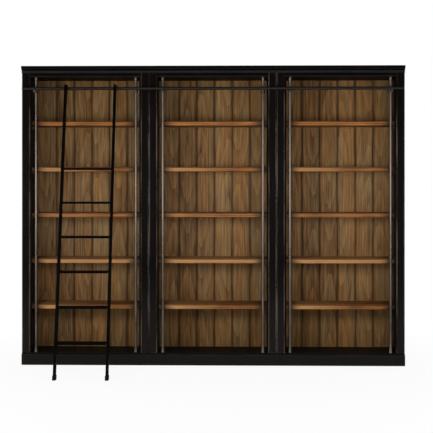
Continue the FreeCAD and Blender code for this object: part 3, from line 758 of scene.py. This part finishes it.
def stiles():
    """Uprights of the face frame, chamfered in front, each with a stop strip behind its inner edge."""
    low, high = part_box("middle_case_stiles")
    stop_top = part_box("middle_case_frieze")[0].z
    pair, stops = [], []
    for sign in (-1, 1):
        outer = sign * MODULE / 2
        inner = outer - sign * STILE_WIDTH
        cut = sign * STILE_CHAMFER
        outline = [(outer, high.y), (outer, low.y + STILE_CHAMFER), (outer - cut, low.y)]
        outline += [(inner + cut, low.y), (inner, low.y + STILE_CHAMFER), (inner, high.y)]
        pair.append(ease(saw("stile", outline, Z, low.z, high.z), FRAME_EASE))
        edge, face = inner - sign * STOP_WIDTH, low.y + STOP_SET_BACK
        outline = [(inner, face), (edge, face), (edge, high.y), (inner, high.y)]
        strip = saw("stop", outline, Z, low.z, stop_top)
        # Painted shade: the stop strips keep their full black coat, dark in the shade behind each stile's
        # edge.
        stops.append(keep_black(ease(strip, STOP_EASE)))
    return {"stiles": join("middle_stiles", [mark_wear_and_shading(join("stile_pair", pair))] + stops)}


def frieze():
    """Top rail of the face frame, with a beaded lower edge."""
    low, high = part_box("middle_case_frieze")
    bead_top = low.z + FRIEZE_BEAD
    outline = [(low.y + FRIEZE_BEAD, low.z), (high.y, low.z), (high.y, high.z), (low.y, high.z)]
    outline += [(low.y, bead_top)]
    rail = ease(saw("middle_frieze", outline, X, low.x, high.x), FRAME_EASE)
    # Painted highlight on the bead, marked rubbed, and painted shade on the face above it under the crown,
    # marked -1.
    mark_wear_and_shading(rail, worked_and_lit=(low.z, bead_top), shaded_heights=[(bead_top + MARGIN, high.z)])
    return {"frieze": rail}


def crown():
    """Moulding with a step, a hollow cove and a corona with a chamfered top."""
    low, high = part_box("middle_case_crown")
    step_y = high.y - CROWN_STEP
    step_z = low.z + CROWN_STEP_HEIGHT
    cove_y = step_y - CROWN_COVE
    cove_z = step_z + CROWN_COVE
    outline = [(high.y, low.z), (step_y, low.z)]
    outline += arc(cove_y, step_z, CROWN_COVE, 0, 90, steps=10)
    outline += [(low.y, cove_z), (low.y, high.z - CORONA_CHAMFER), (low.y + CORONA_CHAMFER, high.z)]
    outline += [(high.y, high.z)]
    moulding = ease(saw("middle_crown", outline, X, low.x, high.x), CROWN_EASE)
    cove_middle = step_z + CROWN_COVE / 2
    # Painted highlight on the lower half of the cove, marked rubbed, and painted shade under the corona on
    # the upper half, marked -1.
    mark_wear_and_shading(moulding, worked_and_lit=(low.z, cove_middle), shaded_heights=[(cove_middle, cove_z - MARGIN)])
    return {"crown": moulding}


def base_skirt():
    """Board along the foot, with a hollowed top edge and a chamfered toe."""
    low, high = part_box("middle_case_base_skirt")
    outline = [(low.y, low.z + SKIRT_TOE), (low.y + SKIRT_TOE, low.z), (high.y, low.z), (high.y, high.z)]
    outline += arc(low.y, high.z, SKIRT_HOLLOW, 0, -90)
    skirt = ease(saw("middle_base_skirt", outline, X, low.x, high.x), FRAME_EASE)
    # Painted shade: the hollow top and the toe are marked -1 and keep their full black coat.
    hollow = (high.z - SKIRT_HOLLOW + 2 * MARGIN, high.z)
    toe = (low.z, low.z + SKIRT_TOE - MARGIN)
    mark_wear_and_shading(skirt, shaded_heights=[hollow, toe])
    return {"base_skirt": skirt}


def flat_boards():
    """Top board and deck."""
    boards = {}
    for name in ("top_board", "deck"):
        low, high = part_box(f"middle_case_{name}")
        outline = [(low.x, low.y), (high.x, low.y), (high.x, high.y), (low.x, high.y)]
        board = saw(f"middle_{name}", outline, Z, low.z, high.z)
        boards[name] = mark_wear_and_shading(ease(board, BOARD_EASE))
    return boards


def planked_back():
    """Upright boards with a vee down each joint, tongued into one another."""
    low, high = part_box("middle_case_back_planks")
    edges = [low.x] + BOARD_JOINTS + [high.x]
    tongue_low = (low.y + high.y - TONGUE_THICKNESS) / 2
    tongue_high = tongue_low + TONGUE_THICKNESS
    boards = []
    for left, right in zip(edges, edges[1:]):
        right -= CLEARANCE
        last = right + TONGUE_LENGTH > high.x
        outline = [(left + VEE_WIDTH, low.y), (right - VEE_WIDTH, low.y), (right, low.y + VEE_DEPTH)]
        if not last:
            outline += [(right, tongue_low), (right + TONGUE_LENGTH, tongue_low)]
            outline += [(right + TONGUE_LENGTH, tongue_high), (right, tongue_high)]
        outline += [(right, high.y), (left, high.y)]
        if left > low.x:
            groove_low, groove_high = tongue_low - CLEARANCE, tongue_high + CLEARANCE
            outline += [(left, groove_high), (left + TONGUE_LENGTH, groove_high)]
            outline += [(left + TONGUE_LENGTH, groove_low), (left, groove_low)]
        outline += [(left, low.y + VEE_DEPTH)]
        boards.append(saw("plank", outline, Z, low.z, high.z))
    planks = join("middle_back_planks", boards)
    ease(planks, PLANK_EASE, segments=1)
    return {"back_planks": planks}


def shelves():
    """Thick boards with a rounded nose, one modelled and lifted to each height."""
    low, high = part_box("middle_case_shelf_1")
    outline = [(high.y, high.z)]
    outline += arc(low.y + SHELF_NOSE, high.z - SHELF_NOSE, SHELF_NOSE, 90, 180, steps=5)
    outline += arc(low.y + SHELF_NOSE, low.z + SHELF_NOSE, SHELF_NOSE, 180, 270, steps=5)
    outline += [(high.y, low.z)]
    lowest = ease(saw("middle_shelf_1", outline, X, low.x, high.x), SHELF_EASE)
    mark_wear_and_shading(lowest, HANDLED_REACH)
    made = {"shelf_1": lowest}
    for number in range(2, SHELF_COUNT + 1):
        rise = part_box(f"middle_case_shelf_{number}")[0].z - low.z
        made[f"shelf_{number}"] = copy(lowest, f"middle_shelf_{number}", Vector((0, 0, rise)))
    return made


def steel_posts():
    """Two rods, each with a hollow-tapered ferrule at the foot and a flared flange at the head."""
    low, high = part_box("middle_case_posts")
    length = high.z - low.z
    profile = [(0, 0), (FERRULE_RADIUS - MM, 0), (FERRULE_RADIUS, MM), (FERRULE_RADIUS, FERRULE_RIM)]
    for step in range(1, FERRULE_STEPS + 1):
        share = step / FERRULE_STEPS
        radius = POST_RADIUS + (FERRULE_RADIUS - POST_RADIUS - MM) * (1 - share) ** FERRULE_TAPER
        profile.append((radius, FERRULE_RIM + (FERRULE_HEIGHT - FERRULE_RIM) * share))
    for step in range(FLANGE_STEPS + 1):
        share = step / FLANGE_STEPS
        radius = POST_RADIUS + (FLANGE_RADIUS - POST_RADIUS - MM) * share ** FLANGE_FLARE
        profile.append((radius, length - FLANGE_HEIGHT + (FLANGE_HEIGHT - FLANGE_RIM) * share))
    profile += [(FLANGE_RADIUS, length - FLANGE_RIM + MM), (FLANGE_RADIUS, length), (0, length)]
    foot = Vector((low.x + FLANGE_RADIUS, (low.y + high.y) / 2, low.z))
    first = turn("post", profile, foot, UPWARD, RIGHTWARD, steps=POST_FACETS)
    second = copy(first, "post_twin", Vector((high.x - low.x - 2 * FLANGE_RADIUS, 0, 0)))
    return {"posts": join("middle_posts", [first, second])}


# Rail.
def rail_tubes():
    """Three tubes butted at the seams."""
    for case in ("left", "middle", "right"):
        low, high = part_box(f"{case}_rail")
        axis_point = Vector((low.x, (low.y + high.y) / 2, (low.z + high.z) / 2))
        length = high.x - low.x
        profile = [(RAIL_BORE, 0), (RAIL_RADIUS - RAIL_LIP, 0), (RAIL_RADIUS, RAIL_LIP)]
        profile += [(RAIL_RADIUS, length - RAIL_LIP), (RAIL_RADIUS - RAIL_LIP, length), (RAIL_BORE, length)]
        tube = turn(f"{case}_rail_tube", profile, axis_point, RIGHTWARD, FRONTWARD, closed=True)
        hand_in(tube, f"{case}_rail", rail_coat)


def rail_end_caps():
    """Domed discs on spigots that close the ends of the rail."""
    low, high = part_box("rail_end_caps")
    caps = []
    for end, way in ((low.x + CAP_THICKNESS, -1), (high.x - CAP_THICKNESS, 1)):
        face = Vector((end, (low.y + high.y) / 2, (low.z + high.z) / 2))
        profile = [(0, -SPIGOT_LENGTH), (SPIGOT_RADIUS, -SPIGOT_LENGTH), (SPIGOT_RADIUS, 0)]
        profile += [(CAP_RADIUS - MM, 0), (CAP_RADIUS, MM), (CAP_RADIUS, CAP_THICKNESS - CAP_ROUNDING)]
        profile += [(CAP_RADIUS - CAP_ROUNDING, CAP_THICKNESS - CAP_DOME), (0, CAP_THICKNESS)]
        caps.append(turn("cap", profile, face, RIGHTWARD * way, FRONTWARD))
    hand_in(join("rail_end_discs", caps), "rail_end_caps", rail_coat)


# Ladder, placed from the axis of the rail and the middle of the treads.
rail_low, rail_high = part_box("middle_rail")
tread_low, tread_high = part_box("ladder_treads")
RAIL_Y = (rail_low.y + rail_high.y) / 2
RAIL_Z = (rail_low.z + rail_high.z) / 2
LADDER_X = (tread_low.x + tread_high.x) / 2
LADDER_SIDES = (("left", LADDER_X - LADDER_SPACING / 2), ("right", LADDER_X + LADDER_SPACING / 2))


def leaned(front, up):
    """Place in depth and height of a point so far in front of the rail's axis and up the leaning ladder."""
    return RAIL_Y - front * cos(LEAN) + up * sin(LEAN), RAIL_Z + front * sin(LEAN) + up * cos(LEAN)


def leaned_at(front, height):
    """Place on a leaning line so far in front of the rail's axis, at a height above the floor."""
    return leaned(front, (height - RAIL_Z - front * sin(LEAN)) / cos(LEAN))


def ladder_stringers():
    """Rectangular tube with rounded corners, closed at the head."""
    outline = [leaned(STRINGER_BACK, STRINGER_HEAD), leaned_at(STRINGER_BACK, FOOT_SOLE)]
    outline += [leaned_at(STRINGER_FRONT, FOOT_SOLE), leaned(STRINGER_FRONT, STRINGER_HEAD)]
    half = STRINGER_WIDTH / 2
    for hand, place in LADDER_SIDES:
        tube = saw(f"{hand}_stringer", outline, X, place - half, place + half)
        ease(tube, STRINGER_EASE, segments=3)
        hand_in(tube, f"ladder_{hand}_stringer", ladder_coat, "ladder")


def ladder_treads():
    """Folded plate steps, with the bends rounded and the lips turned down."""
    half = LADDER_SPACING / 2 - STRINGER_WIDTH / 2
    middle = (STRINGER_BACK + STRINGER_FRONT) / 2
    depth, height = leaned_at(middle, LOWEST_TREAD)
    back, front = depth + TREAD_DEPTH / 2, depth - TREAD_DEPTH / 2
    lip = height - TREAD_LIP
    inner = TREAD_BEND - TREAD_GAUGE
    outline = [(front + TREAD_GAUGE, lip), (front, lip)]
    outline += arc(front + TREAD_BEND, height - TREAD_BEND, TREAD_BEND, 180, 90, steps=5)
    outline += arc(back - TREAD_BEND, height - TREAD_BEND, TREAD_BEND, 90, 0, steps=5)
    outline += [(back, lip), (back - TREAD_GAUGE, lip)]
    outline += arc(back - TREAD_BEND, height - TREAD_BEND, inner, 0, 90, steps=5)
    outline += arc(front + TREAD_BEND, height - TREAD_BEND, inner, 90, 180, steps=5)
    treads = [ease(saw("tread", outline, X, LADDER_X - half, LADDER_X + half), TREAD_EASE)]
    for step in range(1, TREAD_COUNT):
        rise = step * TREAD_RISE
        treads.append(copy(treads[0], f"tread_{step}", Vector((0, rise * tan(LEAN), rise))))
    hand_in(join("ladder_steps", treads), "ladder_treads", ladder_coat, "ladder")


def ladder_hooks():
    """Flat bars welded behind the stringers and bent over the rail."""
    bends = [HOOK_WRAP * step / HOOK_STEPS for step in range(HOOK_STEPS + 1)]
    outline = [leaned(HOOK_INNER, -HOOK_SHANK), leaned(HOOK_OUTER, -HOOK_SHANK)]
    outline += [leaned(HOOK_OUTER * cos(bend), HOOK_OUTER * sin(bend)) for bend in bends]
    outline += [leaned(HOOK_INNER * cos(bend), HOOK_INNER * sin(bend)) for bend in reversed(bends)]
    half = HOOK_WIDTH / 2
    hooks = []
    for hand, place in LADDER_SIDES:
        hook = saw(f"{hand}_hook", outline, X, place - half, place + half)
        hooks.append(ease(hook, HOOK_EASE))
    hand_in(join("ladder_rail_hooks", hooks), "ladder_hooks", ladder_coat, "ladder")


def rail_saddles():
    """Nylon liners with a flange on each side of the hook."""
    inside = HOOK_WIDTH / 2 + CLEARANCE
    outside = inside + SADDLE_FLANGE
    profile = [(SADDLE_INNER, -outside), (SADDLE_INNER, outside)]
    profile += [(SADDLE_RIM, outside), (SADDLE_RIM, inside), (SADDLE_FLOOR, inside)]
    profile += [(SADDLE_FLOOR, -inside), (SADDLE_RIM, -inside), (SADDLE_RIM, -outside)]
    start = (pi - SADDLE_WRAP) / 2
    outward = Vector((0, -cos(start), sin(start)))
    liners = []
    for hand, place in LADDER_SIDES:
        axis_point = Vector((place, RAIL_Y, RAIL_Z))
        liner = turn(
            f"{hand}_liner", profile, axis_point, -RIGHTWARD, outward, SADDLE_WRAP, SADDLE_STEPS, closed=True,
        )
        liners.append(ease(liner, SADDLE_EASE))
    hand_in(join("saddle_liners", liners), "rail_saddles", nylon, "ladder_saddles")


def ladder_feet():
    """Rubber boots, level with the floor."""
    back, front = STRINGER_BACK - FOOT_WALL, STRINGER_FRONT + FOOT_WALL
    outline = [leaned_at(back, FOOT_HEIGHT), leaned_at(back, 0)]
    outline += [leaned_at(front, 0), leaned_at(front, FOOT_HEIGHT)]
    half = STRINGER_WIDTH / 2 + FOOT_WALL
    boots = []
    for hand, place in LADDER_SIDES:
        boot = saw(f"{hand}_boot", outline, X, place - half, place + half)
        boots.append(ease(boot, FOOT_EASE, segments=3))
    hand_in(join("rubber_boots", boots), "ladder_feet", rubber, "ladder")


# One case is modelled in the middle, and its pieces are copied to the left and the right.
# The pieces that have no finish in the list are shelves.
CASE_PARTS = (case_sides, stiles, frieze, crown, base_skirt, flat_boards, planked_back, shelves, steel_posts)
CASE_FINISHES = {
    "left_side": (side_paint, "black_painted_wood"),
    "right_side": (side_paint, "black_painted_wood"),
    "stiles": (upright_paint, "black_painted_wood"),
    "frieze": (level_paint, "black_painted_wood"),
    "crown": (level_paint, "black_painted_wood"),
    "base_skirt": (skirt_paint, "black_painted_wood"),
    "top_board": (level_paint, "black_painted_wood"),
    "deck": (level_paint, "black_painted_wood"),
    "back_planks": (plank_wood, "plank_wood"),
    "posts": (post_steel, "post_steel"),
}
case_pieces = {}
for make in CASE_PARTS:
    case_pieces.update(make())
for part, piece in case_pieces.items():
    finish, slot = CASE_FINISHES.get(part, (shelf_wood, "shelf_wood"))
    for case, way in (("left", -1), ("right", 1)):
        twin = copy(piece, piece.name.replace("middle", case), Vector((way * MODULE, 0, 0)))
        hand_in(twin, f"{case}_case_{part}", finish)
    hand_in(piece, f"middle_case_{part}", finish)
rail_tubes()
rail_end_caps()
ladder_stringers()
ladder_treads()
ladder_hooks()
rail_saddles()
ladder_feet()

# Small fittings keep their machined shapes and get a finish.
CAD_FINISHES = {
    "shelf_cleats": zinc,
    "rail_brackets": post_steel,
    "rail_couplers": zinc,
    "floor_glides": polyethylene,
    "connector_bolts": zinc,
}
for node, finish in CAD_FINISHES.items():
    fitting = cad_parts[node]
    fitting.data.materials.clear()
    fitting.data.materials.append(finish)


# Studio, in metres and watts.
FLOOR_SIZE = 40
SHADOW_NEAR, SHADOW_END = 1.2, 3.2
NEAR_WHITE = 0.92
ROOM_LEVEL, ROOM_IN_GLOSS = 0.18, 0.35
FRONT_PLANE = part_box("middle_case_stiles")[0].y
STRIP_X = -0.3
STRIP_SIZE = (6.0, 0.8)
MATT_HEIGHT, MATT_DISTANCE, MATT_WATTS = 1.58, 2.4, 57
SHINE_HEIGHT, SHINE_DISTANCE, SHINE_WATTS = 1.28, 2.3, 62
BOX_SIZE = (2.4, 2.4)
BOX_AIM = (0, 0.2, 1.1)


def softbox(name, place, target, size, watts):
    """Add a rectangular lamp that looks from its place to a target."""
    bpy.ops.object.light_add(type="AREA", location=place)
    lamp = bpy.context.object
    lamp.name = name
    lamp.rotation_euler = (Vector(target) - Vector(place)).to_track_quat("-Z", "Y").to_euler()
    lamp.data.shape = "RECTANGLE"
    lamp.data.size, lamp.data.size_y = size
    lamp.data.energy = watts
    return lamp


def strip_lamp(name, height, distance, watts):
    """Add a long lamp that looks squarely at the fronts."""
    place = (STRIP_X, FRONT_PLANE - distance, height)
    return softbox(name, place, (STRIP_X, 0, height), STRIP_SIZE, watts)


def white_rays(tree):
    """1 for rays that show the background: camera, glossy and transmission rays."""
    rays = add(tree, "LightPath").outputs
    seen = add(tree, "Math", {0: rays["Is Camera Ray"], 1: rays["Is Glossy Ray"]}, operation="MAXIMUM")
    return add(tree, "Math", {0: seen, 1: rays["Is Transmission Ray"]}, operation="MAXIMUM")


def studio_floor():
    """Pale matt floor that fades to white away from the object and keeps its shadow near it."""
    deselect()
    bpy.ops.mesh.primitive_plane_add(size=FLOOR_SIZE)
    floor = name_piece(bpy.context.object, "studio_floor")
    finish, tree, place = new_finish("PaleStudioFloor")
    apart = add(tree, "VectorMath", {0: place}, operation="LENGTH")
    fading = {0: apart.outputs["Value"], 1: SHADOW_NEAR, 2: SHADOW_END, 3: NEAR_WHITE, 4: 1}
    away = add(tree, "MapRange", fading, interpolation_type="SMOOTHSTEP")
    share = add(tree, "Math", {0: white_rays(tree), 1: away}, operation="MULTIPLY")
    matt = add(tree, "BsdfDiffuse", {"Color": srgb("#f2f1ef")})
    glow = add(tree, "Emission", {"Color": srgb("#ffffff"), "Strength": 1})
    mixed = add(tree, "MixShader", {0: share, 1: matt, 2: glow})
    add(tree, "OutputMaterial", {"Surface": mixed})
    floor.data.materials.append(finish)


def studio_air():
    """White backdrop behind the object and a dim room in front of it, white wherever the camera looks.

    Gloss and glass see the backdrop as it is, and the room in front a little brighter than matt surfaces do.
    """
    world = bpy.data.worlds.new("Studio")
    bpy.context.scene.world = world
    world.use_nodes = True
    tree = world.node_tree
    tree.nodes.clear()
    way = add(tree, "SeparateXYZ", {0: add(tree, "TexCoord").outputs["Generated"]})
    backward = {0: way.outputs["Y"], 1: -0.2, 2: 0.5, 3: ROOM_LEVEL, 4: 1}
    room = add(tree, "MapRange", backward, interpolation_type="SMOOTHSTEP")
    rays = add(tree, "LightPath").outputs
    clear = add(tree, "Math", {0: rays["Is Glossy Ray"], 1: rays["Is Transmission Ray"]}, operation="MAXIMUM")
    seen = add(tree, "Math", {0: clear, 1: ROOM_IN_GLOSS, 2: rays["Is Camera Ray"]}, operation="MULTIPLY_ADD")
    level = add(tree, "Math", {0: seen, 1: room}, operation="MAXIMUM")
    sky = add(tree, "Background", {"Color": srgb("#ffffff"), "Strength": level})
    add(tree, "OutputWorld", {"Surface": sky})


studio_floor()
studio_air()
# The upper strip lights what is matt, and the lower one only shows in what shines.
strip_lamp("strip_matt", MATT_HEIGHT, MATT_DISTANCE, MATT_WATTS).visible_glossy = False
strip_lamp("strip_shine", SHINE_HEIGHT, SHINE_DISTANCE, SHINE_WATTS).visible_diffuse = False
softbox("softbox_left", (-4.2, -4.2, 1.6), BOX_AIM, BOX_SIZE, 56)
softbox("softbox_right", (4.2, -4.2, 1.6), BOX_AIM, BOX_SIZE, 26)
softbox("softbox_above", (0, -2.5, 4.6), (0, 0.2, 1.2), (5.0, 1.6), 16)

# Level camera at the photograph's height. Each case was photographed from nearer by, on its own;
# from this distance the outline of the three side by side comes out as it is there.
# PIXEL is the width of a pixel at the fronts, and the shifts are in pixels.
IMAGE_PIXELS = 433
PIXEL = 7.955 * MM
SHIFT_RIGHT, SHIFT_DOWN = 3.85, 32.63
CAMERA_DISTANCE = 8.0
CAMERA_YAW = radians(1.1)
CAMERA_HEIGHT = 1.45
SENSOR = 36.0
aside = CAMERA_DISTANCE * sin(CAMERA_YAW)
away = CAMERA_DISTANCE * cos(CAMERA_YAW)
bpy.ops.object.camera_add(
    location=(aside, FRONT_PLANE - away, CAMERA_HEIGHT),
    rotation=(pi / 2, 0, CAMERA_YAW),
)
camera = bpy.context.object
camera.data.sensor_width = SENSOR
camera.data.lens = SENSOR * CAMERA_DISTANCE / (IMAGE_PIXELS * PIXEL)
camera.data.shift_x = SHIFT_RIGHT / IMAGE_PIXELS
camera.data.shift_y = -SHIFT_DOWN / IMAGE_PIXELS
bpy.context.scene.camera = camera
bpy.context.scene.view_settings.view_transform = "Standard"
